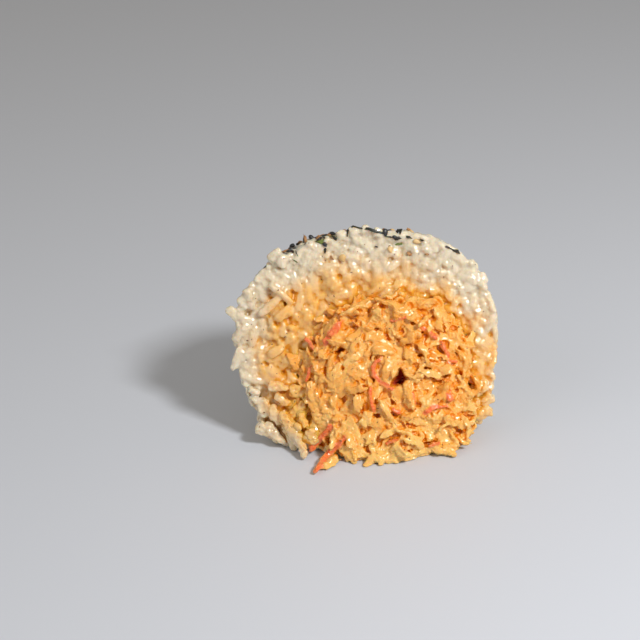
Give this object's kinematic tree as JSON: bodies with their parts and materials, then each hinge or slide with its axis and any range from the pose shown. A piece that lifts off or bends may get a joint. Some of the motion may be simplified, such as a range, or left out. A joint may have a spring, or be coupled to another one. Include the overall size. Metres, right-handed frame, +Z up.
{
  "type": "spicy crab onigiri half",
  "caption": "Half of a round rice ball on its base, broken open on a filling of shredded spicy crab, with seeds and seaweed flakes on top.",
  "frame": {"origin": "middle of the footprint's bounding box, on the surface the piece rests on", "axes": "+Z up from the resting surface, +X along the width of the broken face, -Y out of the broken face"},
  "size_m": [0.0829, 0.062, 0.0639],
  "materials": {
    "cooked_rice": "cooked white rice, moist and slightly see-through, stained pale orange near the filling, with sesame and seaweed on top",
    "spicy_crab": "shredded crab in a pale orange dressing, moist, with soft gloss and a few pink strips"
  },
  "bodies": {
    "root": {"rice_ball": "cooked_rice", "crab_filling": "spicy_crab"}
  },
  "joints": []
}
